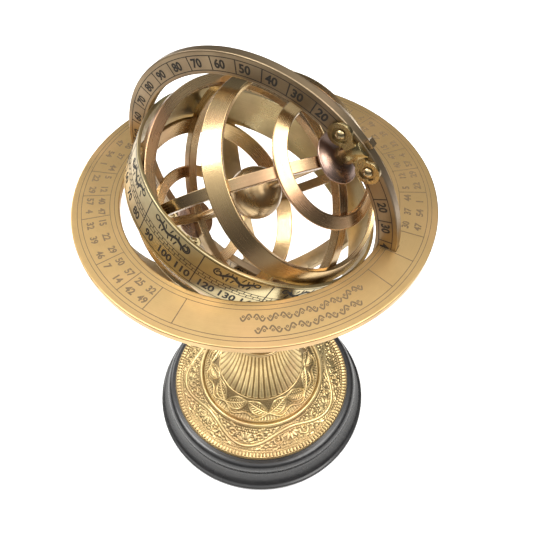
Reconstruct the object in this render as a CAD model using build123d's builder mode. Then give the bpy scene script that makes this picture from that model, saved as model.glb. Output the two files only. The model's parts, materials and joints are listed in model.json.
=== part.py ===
from build123d import *
import os
from math import asin, cos, degrees, pi, radians, sin, sqrt

# Desk armillary sphere. Millimetres, +Z up, origin on the table under the middle of the foot.
# The rings share one centre. The meridian ring stands in the XZ plane, the polar axis lies in
# it, and everything inside the meridian ring turns on that axis.

# ---- driving dimensions -------------------------------------------------------------------
ring_centre_z = 175.0
latitude = 45.0

horizon_outer_r = 70.0
horizon_inner_r = 52.0
horizon_thickness = 3.0

meridian_outer_r = 59.0
meridian_inner_r = 50.8
meridian_thickness = 3.6
sliding_gap = 0.1

colure_outer_r = 45.3
colure_inner_r = 41.7
colure_width = 4.0
solstice_azimuth = -30.0
seat_depth = 0.1

parallel_thickness = 1.8
tropic_latitude = 36.5
tropic_width = 7.1
polar_circle_latitude = 63.2
polar_circle_width = 4.9
equator_outer_r = 47.6
equator_inner_r = 43.4
equator_height = 3.6

zodiac_inner_r = 47.5
zodiac_thickness = 1.3
zodiac_width = 17.8
obliquity = 25.0

axis_r = 1.25
axis_square = 2.6
axis_end_r = 61.0
axis_running_gap = 0.05
ball_r = 10.3
pole_cap_r = 9.1
pole_cap_height = 2.3
pole_nut_flats = 5.5
pole_nut_height = 2.0

strap_thickness = 1.4
strap_ear_r = 4.3
strap_ear_distance = 55.2
strap_boss_r = 3.9
strap_boss_half_width = 2.7
strap_boss_inner_r = 49.9
strap_boss_outer_r = 58.6
strap_waist = 4.6
rivet_angle = 7.9
rivet_r = 1.1
rivet_head_r = 1.9
rivet_recess_r = 2.9
rivet_recess_depth = 0.6
back_strap_thickness = 0.9
back_strap_ear_r = 2.9
back_strap_boss_r = 3.5
back_strap_boss_outer_r = 56.4
back_recess_depth = 0.4

arm_inner_r = 55.6
arm_thickness = 2.4
arm_width = 8.0
arm_start_angle = 8.5
arm_foot_length = 8.6
arm_foot_thickness = 2.0
arm_azimuths = (45.0, 135.0, 225.0, 315.0)
screw_r = 1.0
screw_head_r = 1.9
screw_head_height = 1.0

hub_r = 12.5
hub_bottom_z = 103.0
hub_top_z = 121.0
tie_rod_r = 3.0
bore_clearance = 0.1

felt_r = 58.0
felt_thickness = 1.2
wood_top_z = 19.8
wood_foot_r = 62.4
nut_well_r = 9.5
nut_well_top_z = 11.0
base_nut_flats = 10.0
base_nut_height = 5.0
washer_r = 8.5
washer_thickness = 1.5

flange_r = 51.7
sheet = 1.6
collar_bottom_z = 67.2
collar_disc_r = 16.0
stem_bottom_z = 74.0

# ---- frames of reference --------------------------------------------------------------------
centre = Vector(0, 0, ring_centre_z)
pole = Vector(cos(radians(latitude)), 0, sin(radians(latitude)))
equator_up = Vector(-sin(radians(latitude)), 0, cos(radians(latitude)))
axis_line = Axis(centre, pole)
vertical = Axis((0, 0, 0), (0, 0, 1))
equator_plane = Plane(origin=centre, x_dir=equator_up, z_dir=pole)
half_section = Plane(origin=centre, x_dir=equator_up, z_dir=equator_up.cross(pole))


def celestial_direction(azimuth, altitude):
    """Unit vector inside the turning sphere, from its azimuth and its height over the equator."""
    level = equator_up * cos(radians(azimuth)) + pole.cross(equator_up) * sin(radians(azimuth))
    return level * cos(radians(altitude)) + pole * sin(radians(altitude))


def flat_ring(plane, inner_r, outer_r, width):
    """Ring of rectangular section round a plane's normal, centred on the plane."""
    with BuildPart() as ring:
        with BuildSketch(plane):
            Circle(outer_r)
            Circle(inner_r, mode=Mode.SUBTRACT)
        extrude(amount=width / 2, both=True)
    return ring.part


def parallel_band(band_latitude, width):
    """Flat strip bent round the polar axis and dished to follow the sphere at its latitude."""
    across = Vector(cos(radians(band_latitude)), sin(radians(band_latitude)))
    along = Vector(-across.Y, across.X) * (width / 2)
    inner = across * (colure_outer_r - seat_depth)
    outer = inner + across * parallel_thickness
    corners = [inner - along, outer - along, outer + along, inner + along]
    with BuildPart() as band:
        with BuildSketch(half_section):
            with BuildLine():
                Polyline([(corner.X, corner.Y) for corner in corners], close=True)
            make_face()
        revolve(axis=axis_line)
    return band.part


def hex_nut(plane, flats, height, bore_r):
    """Hexagon nut standing on a plane."""
    with BuildPart() as nut:
        with BuildSketch(plane):
            RegularPolygon(flats / 2, 6, major_radius=False)
            Circle(bore_r, mode=Mode.SUBTRACT)
        extrude(amount=height)
    return nut.part


# ---- parallels of the sphere ------------------------------------------------------------------
with BuildPart() as arctic_circle:
    add(parallel_band(polar_circle_latitude, polar_circle_width))
with BuildPart() as tropic_of_cancer:
    add(parallel_band(tropic_latitude, tropic_width))
with BuildPart() as tropic_of_capricorn:
    add(parallel_band(-tropic_latitude, tropic_width))
with BuildPart() as antarctic_circle:
    add(parallel_band(-polar_circle_latitude, polar_circle_width))

# ---- zodiac band: a wide hoop outside the others, tilted to the equator --------------------------
zodiac_pole = celestial_direction(solstice_azimuth, 90.0 - obliquity)
zodiac_plane = Plane(origin=centre, x_dir=celestial_direction(solstice_azimuth + 90, 0), z_dir=zodiac_pole)
zodiac_outer_r = zodiac_inner_r + zodiac_thickness
with BuildPart() as zodiac_band:
    add(flat_ring(zodiac_plane, zodiac_inner_r, zodiac_outer_r, zodiac_width))

# ---- equator ring, seated against the inside of the zodiac band at the two equinoxes --------------
with BuildPart() as equator_ring:
    add(flat_ring(equator_plane, equator_inner_r, equator_outer_r, equator_height))
    add(zodiac_band.part, mode=Mode.SUBTRACT)

# ---- the two colures: hoops through both poles, half-lapped where they cross ----------------------
solstitial_plane = Plane(origin=centre, x_dir=pole, z_dir=celestial_direction(solstice_azimuth + 90, 0))
equinoctial_plane = Plane(origin=centre, x_dir=pole, z_dir=celestial_direction(solstice_azimuth, 0))
colure_middle_r = (colure_outer_r + colure_inner_r) / 2
crossing_plane = Plane(origin=centre, x_dir=celestial_direction(solstice_azimuth, 0), z_dir=pole)
seated_rings = [arctic_circle, tropic_of_cancer, equator_ring, tropic_of_capricorn, antarctic_circle]

with BuildPart() as axis_bore:
    with BuildSketch(equator_plane):
        Circle(axis_r)
    extrude(amount=meridian_outer_r, both=True)

with BuildPart() as solstitial_colure:
    add(flat_ring(solstitial_plane, colure_inner_r, colure_outer_r, colure_width))
    with BuildSketch(crossing_plane):
        Rectangle(colure_width, 2 * colure_width)
    extrude(amount=colure_middle_r, both=True, mode=Mode.SUBTRACT)
    for ring in seated_rings:
        add(ring.part, mode=Mode.SUBTRACT)
    add(axis_bore.part, mode=Mode.SUBTRACT)

with BuildPart() as equinoctial_colure:
    add(flat_ring(equinoctial_plane, colure_inner_r, colure_outer_r, colure_width))
    for side in (1, -1):
        with BuildSketch(crossing_plane.offset(colure_middle_r * side)):
            Rectangle(2 * colure_width, colure_width)
        extrude(amount=colure_width * side, mode=Mode.SUBTRACT)
    for ring in seated_rings:
        add(ring.part, mode=Mode.SUBTRACT)
    add(axis_bore.part, mode=Mode.SUBTRACT)

# ---- blocks that hold the zodiac band off the solstitial colure ------------------------------------
with BuildPart() as zodiac_spacers:
    for end in (1, -1):
        spacer_direction = celestial_direction(solstice_azimuth, -obliquity) * end
        spacer_plane = Plane(
            origin=centre + spacer_direction * (colure_outer_r - 1.0),
            x_dir=zodiac_plane.x_dir,
            z_dir=spacer_direction,
        )
        with BuildSketch(spacer_plane):
            Rectangle(colure_width - 0.4, 5.0)
        extrude(amount=zodiac_inner_r - colure_outer_r + 2.0)
    add(zodiac_band.part, mode=Mode.SUBTRACT)
    add(solstitial_colure.part, mode=Mode.SUBTRACT)
    add(tropic_of_cancer.part, mode=Mode.SUBTRACT)
    add(tropic_of_capricorn.part, mode=Mode.SUBTRACT)

# ---- polar axis, the ball on it, and the caps and nuts that close the poles ------------------------
square_start_r = meridian_outer_r + 0.3
with BuildPart() as polar_axis:
    with BuildSketch(equator_plane):
        Circle(axis_r)
    extrude(amount=axis_end_r, both=True)
    for side in (1, -1):
        with BuildSketch(equator_plane.offset(square_start_r * side)):
            Rectangle(axis_square, axis_square)
        extrude(amount=(axis_end_r - square_start_r) * side)

with BuildPart() as earth_ball:
    with BuildSketch(half_section):
        with BuildLine():
            cap_height = sqrt(ball_r**2 - axis_r**2)
            ThreePointArc((axis_r, cap_height), (ball_r, 0), (axis_r, -cap_height))
            Line((axis_r, -cap_height), (axis_r, cap_height))
        make_face()
    revolve(axis=axis_line)


def pole_cap(side):
    """Domed cap on the crossing of the colures; side is 1 at the north pole and -1 at the south."""
    low = colure_outer_r * side
    rim = low + 0.9 * side
    top = low + pole_cap_height * side
    with BuildPart() as cap:
        with BuildSketch(half_section):
            with BuildLine():
                Line((axis_r, low), (pole_cap_r - 0.5, low))
                ThreePointArc((pole_cap_r - 0.5, low), (pole_cap_r, low + 0.45 * side), (pole_cap_r - 0.3, rim))
                Spline(
                    (pole_cap_r - 0.3, rim),
                    (pole_cap_r * 0.55, low + 0.8 * (top - low)),
                    (3.6, top),
                    tangents=[(-1, 0.55 * side), (-1, 0.0)],
                )
                Line((3.6, top), (axis_r, top))
                Line((axis_r, top), (axis_r, low))
            make_face()
        revolve(axis=axis_line)
    return cap.part


def pole_plane(side, distance):
    """Plane across the polar axis, facing away from the centre."""
    return Plane(origin=centre + pole * (side * distance), x_dir=equator_up, z_dir=pole * side)


with BuildPart() as north_pole_cap:
    add(pole_cap(1))
with BuildPart() as south_pole_cap:
    add(pole_cap(-1))
cap_top_r = colure_outer_r + pole_cap_height
with BuildPart() as north_pole_nut:
    add(hex_nut(pole_plane(1, cap_top_r), pole_nut_flats, pole_nut_height, axis_r))
with BuildPart() as south_pole_nut:
    add(hex_nut(pole_plane(-1, cap_top_r), pole_nut_flats, pole_nut_height, axis_r))

# ---- meridian ring: a radial groove at each pole takes the end of the polar axis --------------------
front = -1
meridian_plane = Plane(origin=centre, x_dir=(1, 0, 0), z_dir=(0, front, 0))
face_y = meridian_thickness / 2
groove_r = axis_r + axis_running_gap
with BuildPart() as meridian_ring:
    add(flat_ring(meridian_plane, meridian_inner_r, meridian_outer_r, meridian_thickness))
    chamfer(meridian_ring.edges().filter_by(GeomType.CIRCLE), 0.35)
    with BuildSketch(equator_plane):
        Circle(groove_r)
        with Locations((0, groove_r)):
            Rectangle(2 * groove_r, 2 * groove_r)
    extrude(amount=meridian_outer_r + 1, both=True, mode=Mode.SUBTRACT)
    for side in (1, -1):
        for turn in (rivet_angle, -rivet_angle):
            spoke = pole.rotate(Axis.Y, turn) * (side * strap_ear_distance)
            with BuildSketch(Plane(origin=centre + spoke, z_dir=(0, 1, 0))):
                Circle(rivet_r)
            extrude(amount=meridian_thickness, both=True, mode=Mode.SUBTRACT)


def pole_strap(side, facing, thickness, ear_r, boss_r, boss_outer_r, recess_r, recess_depth):
    """Bow-tie strap on one face of the ring, with a half-round boss in line with the polar axis."""
    strap_plane = Plane(origin=centre, x_dir=pole * side, z_dir=(0, facing, 0))
    ears = [
        (strap_ear_distance * cos(radians(rivet_angle)), strap_ear_distance * sin(radians(turn)))
        for turn in (rivet_angle, -rivet_angle)
    ]
    with BuildPart() as strap:
        with BuildSketch(strap_plane.offset(face_y)):
            with Locations(ears):
                Circle(ear_r)
            with Locations((strap_ear_distance - 0.3, 0)):
                Rectangle(strap_waist, 2 * strap_ear_distance * sin(radians(rivet_angle)))
        extrude(amount=thickness)
        fillet(strap.edges().filter_by(GeomType.LINE).filter_by(Axis.Y), 1.2)
        with BuildSketch(pole_plane(side, strap_boss_inner_r)):
            Circle(boss_r)
            Rectangle(2 * strap_boss_half_width, 20, mode=Mode.INTERSECT)
        extrude(amount=boss_outer_r - strap_boss_inner_r)
        with BuildSketch(strap_plane.offset(-20)):
            with Locations((strap_ear_distance, 0)):
                Rectangle(40, 40)
        extrude(amount=20 + face_y, mode=Mode.SUBTRACT)
        with BuildSketch(strap_plane.offset(face_y + thickness - recess_depth)):
            with Locations(ears):
                Circle(recess_r)
        extrude(amount=thickness, mode=Mode.SUBTRACT)
        with BuildSketch(strap_plane.offset(face_y)):
            with Locations(ears):
                Circle(rivet_r)
        extrude(amount=thickness, mode=Mode.SUBTRACT)
    return strap.part


front_strap_sizes = (
    strap_thickness,
    strap_ear_r,
    strap_boss_r,
    strap_boss_outer_r,
    rivet_recess_r,
    rivet_recess_depth,
)
back_strap_sizes = (
    back_strap_thickness,
    back_strap_ear_r,
    back_strap_boss_r,
    back_strap_boss_outer_r,
    rivet_head_r,
    back_recess_depth,
)


def pole_rivets(side):
    """Two rivets: a domed head in the front strap's recess, a shank, and a flush head in the back one's."""
    recess_y = face_y + strap_thickness - rivet_recess_depth
    back_y = face_y + back_strap_thickness
    dome_height = 1.5
    dome_r = (rivet_head_r**2 + dome_height**2) / (2 * dome_height)
    half_turn = asin(rivet_head_r / dome_r) / 2
    dome_point = (dome_r * sin(half_turn), recess_y + dome_height - dome_r + dome_r * cos(half_turn))
    with BuildPart() as rivets:
        for turn in (rivet_angle, -rivet_angle):
            spoke = pole.rotate(Axis.Y, turn) * (side * strap_ear_distance)
            origin = centre + spoke
            section = Plane(origin=origin, x_dir=spoke.normalized(), z_dir=spoke.normalized().cross(Vector(0, front, 0)))
            with BuildSketch(section):
                with BuildLine():
                    Polyline(
                        (0, -back_y),
                        (rivet_head_r, -back_y),
                        (rivet_head_r, back_recess_depth - back_y),
                        (rivet_r, back_recess_depth - back_y),
                        (rivet_r, recess_y),
                        (rivet_head_r, recess_y),
                    )
                    ThreePointArc((rivet_head_r, recess_y), dome_point, (0, recess_y + dome_height))
                    Line((0, recess_y + dome_height), (0, -back_y))
                make_face()
            revolve(axis=Axis(origin, (0, front, 0)))
    return rivets.part


with BuildPart() as north_front_strap:
    add(pole_strap(1, front, *front_strap_sizes))
with BuildPart() as north_back_strap:
    add(pole_strap(1, -front, *back_strap_sizes))
with BuildPart() as south_front_strap:
    add(pole_strap(-1, front, *front_strap_sizes))
with BuildPart() as south_back_strap:
    add(pole_strap(-1, -front, *back_strap_sizes))
with BuildPart() as north_strap_rivets:
    add(pole_rivets(1))
with BuildPart() as south_strap_rivets:
    add(pole_rivets(-1))

# ---- horizon ring: flat, with a notch at each end of X that the meridian ring slides in -------------
with BuildPart() as horizon_ring:
    add(flat_ring(Plane.XY.offset(ring_centre_z), horizon_inner_r, horizon_outer_r, horizon_thickness))
    chamfer(horizon_ring.edges().filter_by(GeomType.CIRCLE), 0.4)
    with BuildSketch(Plane.XY.offset(ring_centre_z)):
        Rectangle(2 * (meridian_outer_r + sliding_gap), meridian_thickness + 2 * sliding_gap)
    extrude(amount=horizon_thickness, both=True, mode=Mode.SUBTRACT)
    foot_screw_distance = arm_inner_r + arm_foot_length - 3.0
    with BuildSketch(Plane.XY.offset(ring_centre_z - horizon_thickness / 2)):
        with PolarLocations(foot_screw_distance, 4, start_angle=arm_azimuths[0]):
            Circle(screw_r)
    extrude(amount=2.0, mode=Mode.SUBTRACT)

# ---- cradle: four curved arms from the hub to the underside of the horizon ring ----------------------
horizon_bottom = -horizon_thickness / 2
arm_outer_r = arm_inner_r + arm_thickness
hub_screw_angle = 10.6


def arm_plane(azimuth):
    """Upright plane through the centre; its X runs outward at the azimuth and its Y runs up."""
    outward = Vector(cos(radians(azimuth)), sin(radians(azimuth)), 0)
    return Plane(origin=centre, x_dir=outward, z_dir=outward.cross(Vector(0, 0, 1)))


def arm_screw_plane(azimuth):
    """Plane on the inner face of an arm above the hub, facing the centre of the rings."""
    outward = Vector(cos(radians(azimuth)), sin(radians(azimuth)), 0)
    spoke = outward * sin(radians(hub_screw_angle)) - Vector(0, 0, 1) * cos(radians(hub_screw_angle))
    return Plane(origin=centre + spoke * arm_inner_r, z_dir=spoke * -1)


def cradle_arm(azimuth):
    """Strip on an arc about the rings' centre, with a flat foot that screws up into the horizon ring."""
    start = radians(arm_start_angle)
    inner_end = sqrt(arm_inner_r**2 - horizon_bottom**2)
    foot_low = horizon_bottom - arm_foot_thickness
    outer_end = sqrt(arm_outer_r**2 - foot_low**2)
    middle = radians(50)
    foot_end = arm_inner_r + arm_foot_length
    with BuildPart() as arm:
        with BuildSketch(arm_plane(azimuth)):
            with BuildLine():
                ThreePointArc(
                    (arm_inner_r * sin(start), -arm_inner_r * cos(start)),
                    (arm_inner_r * sin(middle), -arm_inner_r * cos(middle)),
                    (inner_end, horizon_bottom),
                )
                Line((inner_end, horizon_bottom), (foot_end, horizon_bottom))
                Line((foot_end, horizon_bottom), (foot_end, foot_low))
                Line((foot_end, foot_low), (outer_end, foot_low))
                ThreePointArc(
                    (outer_end, foot_low),
                    (arm_outer_r * sin(middle), -arm_outer_r * cos(middle)),
                    (arm_outer_r * sin(start), -arm_outer_r * cos(start)),
                )
                Line(
                    (arm_outer_r * sin(start), -arm_outer_r * cos(start)),
                    (arm_inner_r * sin(start), -arm_inner_r * cos(start)),
                )
            make_face()
        extrude(amount=arm_width / 2, both=True)
        with BuildSketch(Plane.XY.offset(ring_centre_z + foot_low)):
            with PolarLocations(foot_screw_distance, 1, start_angle=azimuth):
                Circle(screw_r)
        extrude(amount=arm_foot_thickness, mode=Mode.SUBTRACT)
        with BuildSketch(arm_screw_plane(azimuth).offset(-screw_head_height)):
            Circle(screw_head_r)
        extrude(amount=screw_head_height + 1.0, mode=Mode.SUBTRACT)
        with BuildSketch(arm_screw_plane(azimuth)):
            Circle(screw_r)
        extrude(amount=-2 * arm_thickness, mode=Mode.SUBTRACT)
    return arm.part


cradle_arms = [cradle_arm(azimuth) for azimuth in arm_azimuths]

with BuildPart() as horizon_screws:
    foot_low_z = ring_centre_z + horizon_bottom - arm_foot_thickness
    with BuildSketch(Plane.XY.offset(foot_low_z)):
        with PolarLocations(foot_screw_distance, 4, start_angle=arm_azimuths[0]):
            Circle(screw_r)
    extrude(amount=arm_foot_thickness + 2.0)
    with BuildSketch(Plane.XY.offset(foot_low_z)):
        with PolarLocations(foot_screw_distance, 4, start_angle=arm_azimuths[0]):
            Circle(screw_head_r)
    extrude(amount=-screw_head_height)

with BuildPart() as hub_screws:
    for azimuth in arm_azimuths:
        with BuildSketch(arm_screw_plane(azimuth)):
            Circle(screw_r)
        extrude(amount=-7.0)
        with BuildSketch(arm_screw_plane(azimuth).offset(-screw_head_height)):
            Circle(screw_head_r)
        extrude(amount=screw_head_height)

# ---- hub: seats for the arms, a slot that the meridian ring slides in, a threaded hole below ----------
hub_waist_r = 9.0
with BuildPart() as cradle_hub:
    with BuildSketch(Plane.XZ):
        with BuildLine():
            Line((0, hub_bottom_z), (hub_waist_r, hub_bottom_z))
            Spline(
                (hub_waist_r, hub_bottom_z),
                (hub_waist_r + 1.0, hub_bottom_z + 4.5),
                (hub_r, hub_bottom_z + 9.0),
                tangents=[(0, 1), (0.4, 1)],
            )
            Line((hub_r, hub_bottom_z + 9.0), (hub_r, hub_top_z))
            Line((hub_r, hub_top_z), (0, hub_top_z))
            Line((0, hub_top_z), (0, hub_bottom_z))
        make_face()
    revolve(axis=vertical)
    with BuildSketch(Plane.XZ):
        with Locations((0, ring_centre_z)):
            Circle(arm_inner_r - 0.6)
    extrude(amount=2 * hub_r, both=True, mode=Mode.SUBTRACT)
    with BuildSketch(Plane.XZ):
        with Locations((0, ring_centre_z)):
            Circle(meridian_outer_r + sliding_gap)
    extrude(amount=meridian_thickness / 2 + sliding_gap, both=True, mode=Mode.SUBTRACT)
    for arm in cradle_arms:
        add(arm, mode=Mode.SUBTRACT)
    add(hub_screws.part, mode=Mode.SUBTRACT)
    with BuildSketch(Plane.XY.offset(hub_bottom_z)):
        Circle(tie_rod_r)
    extrude(amount=8.0, mode=Mode.SUBTRACT)

# ---- turned stem between the pedestal's collar and the hub --------------------------------------------
bore_r = tie_rod_r + bore_clearance
with BuildPart() as stem:
    with BuildSketch(Plane.XZ):
        with BuildLine():
            Line((bore_r, stem_bottom_z), (11.0, stem_bottom_z))
            ThreePointArc((11.0, stem_bottom_z), (12.2, stem_bottom_z + 1.5), (11.0, stem_bottom_z + 3.0))
            Line((11.0, stem_bottom_z + 3.0), (8.6, stem_bottom_z + 3.6))
            Spline(
                (8.6, stem_bottom_z + 3.6),
                (6.2, stem_bottom_z + 10.0),
                (8.8, stem_bottom_z + 17.5),
                (6.6, stem_bottom_z + 23.5),
                tangents=[(-0.9, 1), (-0.1, 1)],
            )
            ThreePointArc(
                (6.6, stem_bottom_z + 23.5), (9.4, stem_bottom_z + 25.2), (6.8, stem_bottom_z + 27.0)
            )
            Line((6.8, stem_bottom_z + 27.0), (hub_waist_r, hub_bottom_z))
            Line((hub_waist_r, hub_bottom_z), (bore_r, hub_bottom_z))
            Line((bore_r, hub_bottom_z), (bore_r, stem_bottom_z))
        make_face()
    revolve(axis=vertical)

# ---- collar disc on the neck of the pedestal ----------------------------------------------------------
with BuildPart() as neck_collar:
    with BuildSketch(Plane.XZ):
        with BuildLine():
            Line((bore_r, collar_bottom_z), (11.2, collar_bottom_z))
            Spline(
                (11.2, collar_bottom_z),
                (12.2, collar_bottom_z + 2.2),
                (14.6, collar_bottom_z + 3.2),
                tangents=[(0.1, 1), (1, 0.15)],
            )
            ThreePointArc(
                (14.6, collar_bottom_z + 3.2),
                (collar_disc_r, collar_bottom_z + 4.5),
                (14.6, collar_bottom_z + 5.8),
            )
            Line((14.6, collar_bottom_z + 5.8), (12.6, stem_bottom_z))
            Line((12.6, stem_bottom_z), (bore_r, stem_bottom_z))
            Line((bore_r, stem_bottom_z), (bore_r, collar_bottom_z))
        make_face()
    revolve(axis=vertical)

# ---- pedestal: spun brass bell with a flat flange on the wooden base -----------------------------------
neck_r = 11.2
with BuildPart() as pedestal:
    with BuildSketch(Plane.XZ):
        with BuildLine():
            Line((flange_r - 2.6, wood_top_z), (flange_r - 0.3, wood_top_z))
            ThreePointArc(
                (flange_r - 0.3, wood_top_z),
                (flange_r, wood_top_z + 0.8),
                (flange_r - 0.9, wood_top_z + 1.5),
            )
            Spline(
                (flange_r - 0.9, wood_top_z + 1.5),
                (44.0, 23.4),
                (36.4, 27.6),
                tangents=[(-1, 0.1), (-1, 0.75)],
            )
            ThreePointArc((36.4, 27.6), (35.2, 28.9), (33.8, 29.0))
            Spline(
                (33.8, 29.0),
                (28.4, 32.0),
                (23.4, 38.0),
                tangents=[(-1, 0.25), (-0.6, 1)],
            )
            Spline(
                (23.4, 38.0),
                (16.6, 49.0),
                (neck_r, collar_bottom_z),
                tangents=[(-0.75, 1), (-0.12, 1)],
            )
            Line((neck_r, collar_bottom_z), (bore_r, collar_bottom_z))
            Line((bore_r, collar_bottom_z), (bore_r, collar_bottom_z - sheet))
            Line((bore_r, collar_bottom_z - sheet), (neck_r - sheet, collar_bottom_z - sheet))
            Spline(
                (neck_r - sheet, collar_bottom_z - sheet),
                (15.2, 48.0),
                (22.0, 37.2),
                tangents=[(0.12, -1), (0.75, -1)],
            )
            Spline(
                (22.0, 37.2),
                (27.4, 30.8),
                (33.2, 27.4),
                tangents=[(0.6, -1), (1, -0.25)],
            )
            Spline(
                (33.2, 27.4),
                (43.6, 21.8),
                (flange_r - 2.6, wood_top_z),
                tangents=[(1, -0.6), (1, -0.1)],
            )
        make_face()
    revolve(axis=vertical)

# ---- turned wooden base, with a well underneath for the nut ---------------------------------------------
with BuildPart() as wooden_base:
    with BuildSketch(Plane.XZ):
        with BuildLine():
            Line((bore_r, felt_thickness), (wood_foot_r - 1.0, felt_thickness))
            ThreePointArc(
                (wood_foot_r - 1.0, felt_thickness),
                (wood_foot_r, felt_thickness + 1.2),
                (wood_foot_r - 0.9, felt_thickness + 2.5),
            )
            Line((wood_foot_r - 0.9, felt_thickness + 2.5), (wood_foot_r - 1.7, felt_thickness + 2.7))
            Spline(
                (wood_foot_r - 1.7, felt_thickness + 2.7),
                (58.8, 6.6),
                (56.4, 11.0),
                tangents=[(-0.8, 0.7), (-0.2, 1)],
            )
            Line((56.4, 11.0), (55.6, 11.6))
            Line((55.6, 11.6), (56.2, 12.1))
            ThreePointArc((56.2, 12.1), (56.6, 16.2), (53.8, wood_top_z))
            Line((53.8, wood_top_z), (bore_r, wood_top_z))
            Line((bore_r, wood_top_z), (bore_r, felt_thickness))
        make_face()
    revolve(axis=vertical)
    with BuildSketch(Plane.XY):
        Circle(nut_well_r)
    extrude(amount=nut_well_top_z, mode=Mode.SUBTRACT)

with BuildPart() as base_felt:
    with BuildSketch(Plane.XY):
        Circle(felt_r)
        Circle(nut_well_r, mode=Mode.SUBTRACT)
    extrude(amount=felt_thickness)

# ---- tie rod that draws the base, pedestal, collar, stem and hub together --------------------------------
washer_bottom_z = nut_well_top_z - washer_thickness
with BuildPart() as tie_rod:
    with BuildSketch(Plane.XY.offset(washer_bottom_z - base_nut_height - 1.0)):
        Circle(tie_rod_r)
    extrude(amount=hub_bottom_z + 8.0 - (washer_bottom_z - base_nut_height - 1.0))

with BuildPart() as base_washer:
    with BuildSketch(Plane.XY.offset(washer_bottom_z)):
        Circle(washer_r)
        Circle(bore_r, mode=Mode.SUBTRACT)
    extrude(amount=washer_thickness)

with BuildPart() as base_nut:
    add(hex_nut(Plane.XY.offset(washer_bottom_z - base_nut_height), base_nut_flats, base_nut_height, tie_rod_r))

# ---- write one STEP file for each piece -------------------------------------------------------------------
pieces = {
    "base_felt": base_felt.part,
    "wooden_base": wooden_base.part,
    "base_nut": base_nut.part,
    "base_washer": base_washer.part,
    "pedestal": pedestal.part,
    "neck_collar": neck_collar.part,
    "stem": stem.part,
    "tie_rod": tie_rod.part,
    "cradle_hub": cradle_hub.part,
    "hub_screws": hub_screws.part,
    "horizon_screws": horizon_screws.part,
    "horizon_ring": horizon_ring.part,
    "meridian_ring": meridian_ring.part,
    "north_front_strap": north_front_strap.part,
    "north_back_strap": north_back_strap.part,
    "south_front_strap": south_front_strap.part,
    "south_back_strap": south_back_strap.part,
    "north_strap_rivets": north_strap_rivets.part,
    "south_strap_rivets": south_strap_rivets.part,
    "polar_axis": polar_axis.part,
    "earth_ball": earth_ball.part,
    "north_pole_cap": north_pole_cap.part,
    "south_pole_cap": south_pole_cap.part,
    "north_pole_nut": north_pole_nut.part,
    "south_pole_nut": south_pole_nut.part,
    "solstitial_colure": solstitial_colure.part,
    "equinoctial_colure": equinoctial_colure.part,
    "equator_ring": equator_ring.part,
    "tropic_of_cancer": tropic_of_cancer.part,
    "tropic_of_capricorn": tropic_of_capricorn.part,
    "arctic_circle": arctic_circle.part,
    "antarctic_circle": antarctic_circle.part,
    "zodiac_band": zodiac_band.part,
    "zodiac_spacers": zodiac_spacers.part,
}
for number, arm in enumerate(cradle_arms, start=1):
    pieces[f"cradle_arm_{number}"] = arm

os.makedirs("parts", exist_ok=True)
for name, piece in pieces.items():
    piece.label = name
    export_step(piece, f"parts/{name}.step")
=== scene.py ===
import json
import math

import bmesh
import bpy
import numpy as np
from mathutils import Matrix, Quaternion, Vector


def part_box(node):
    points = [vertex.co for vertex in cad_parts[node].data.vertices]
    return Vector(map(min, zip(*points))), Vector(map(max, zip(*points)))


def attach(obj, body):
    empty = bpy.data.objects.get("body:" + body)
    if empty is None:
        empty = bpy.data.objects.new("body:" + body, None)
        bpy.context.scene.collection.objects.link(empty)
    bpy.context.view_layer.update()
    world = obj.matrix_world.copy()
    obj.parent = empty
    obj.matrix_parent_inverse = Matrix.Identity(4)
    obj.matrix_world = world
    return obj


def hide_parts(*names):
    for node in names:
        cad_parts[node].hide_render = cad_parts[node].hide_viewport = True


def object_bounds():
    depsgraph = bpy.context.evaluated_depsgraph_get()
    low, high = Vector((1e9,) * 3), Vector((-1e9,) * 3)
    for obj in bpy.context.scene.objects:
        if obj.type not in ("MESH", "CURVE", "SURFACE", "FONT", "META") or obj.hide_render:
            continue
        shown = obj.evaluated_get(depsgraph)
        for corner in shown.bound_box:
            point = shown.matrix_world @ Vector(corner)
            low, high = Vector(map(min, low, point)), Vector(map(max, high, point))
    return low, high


# Desk armillary sphere. Sizes are in millimetres until a mesh is made, and every place comes
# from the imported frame: node boxes, and the joints' axes.

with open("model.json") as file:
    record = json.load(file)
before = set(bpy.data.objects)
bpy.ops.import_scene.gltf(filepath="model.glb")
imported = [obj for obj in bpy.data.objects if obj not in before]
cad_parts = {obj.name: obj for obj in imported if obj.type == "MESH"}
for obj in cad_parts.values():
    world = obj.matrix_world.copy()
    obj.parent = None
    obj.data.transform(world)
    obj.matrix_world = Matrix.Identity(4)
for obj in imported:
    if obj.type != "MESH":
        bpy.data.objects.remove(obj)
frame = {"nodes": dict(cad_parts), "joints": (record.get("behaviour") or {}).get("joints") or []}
cad_low, cad_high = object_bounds()
MM = 0.001
TAU = 2 * math.pi


def box_mm(node):
    """Lowest and highest corner of a CAD node, in millimetres."""
    low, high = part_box(node)
    return low / MM, high / MM


joints = {joint["name"]: joint for joint in frame["joints"]}
centre = Vector(joints["sphere_spin"]["pos_m"]) / MM
pole = Vector(joints["sphere_spin"]["axis"]).normalized()
meridian_low, meridian_high = box_mm("meridian_ring")
meridian_outer_r = (meridian_high.x - meridian_low.x) / 2
meridian_face = meridian_high.y
meridian_width = 8.2
meridian_inner_r = meridian_outer_r - meridian_width
horizon_low, horizon_high = box_mm("horizon_ring")
horizon_outer_r = horizon_high.x
horizon_width = 18.0
horizon_inner_r = horizon_outer_r - horizon_width
wood_low, wood_high = box_mm("wooden_base")
collar_low, collar_high = box_mm("neck_collar")
stem_low, stem_high = box_mm("stem")
ball_r = (box_mm("earth_ball")[1].y - box_mm("earth_ball")[0].y) / 2
cap_r = (box_mm("north_pole_cap")[1].y - box_mm("north_pole_cap")[0].y) / 2
solstice_azimuth = math.radians(-30.0)
obliquity = math.radians(25.0)


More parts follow.
